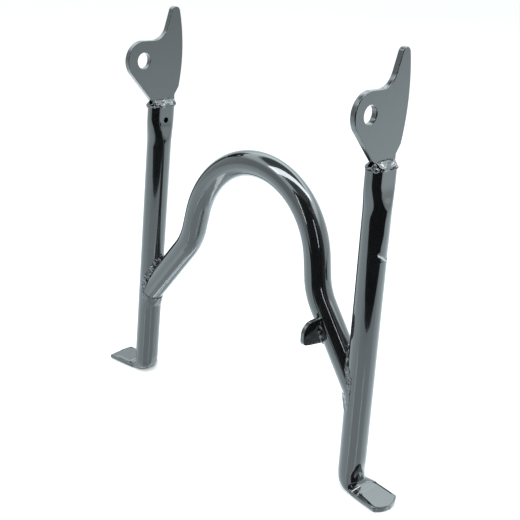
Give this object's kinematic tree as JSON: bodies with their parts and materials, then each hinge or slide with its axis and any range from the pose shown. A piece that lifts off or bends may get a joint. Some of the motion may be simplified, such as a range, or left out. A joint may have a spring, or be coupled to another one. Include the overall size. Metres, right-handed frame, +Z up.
{
  "type": "moped centre stand",
  "caption": "Tubular steel centre stand for a moped: flattened turned-out feet, an arched cross tube and bored pivot plates with horns.",
  "frame": {"origin": "on the ground, midway between the two feet and midway between the front and the back of the pivot plates", "axes": "+X runs across the stand to the leg with the tab nearest it, -Y is the side the pivot noses point to, +Z is up"},
  "size_m": [0.3102, 0.0543, 0.3148],
  "materials": {
    "enamel": "gloss black enamel over welded steel"
  },
  "bodies": {
    "root": {"left_leg": "enamel", "right_leg": "enamel", "arch_tube": "enamel", "left_pivot_plate": "enamel", "right_pivot_plate": "enamel", "side_tab": "enamel", "left_plate_weld": "enamel", "right_plate_weld": "enamel", "left_arch_weld": "enamel", "right_arch_weld": "enamel", "outer_tab_weld": "enamel", "inner_tab_weld": "enamel"}
  },
  "joints": []
}
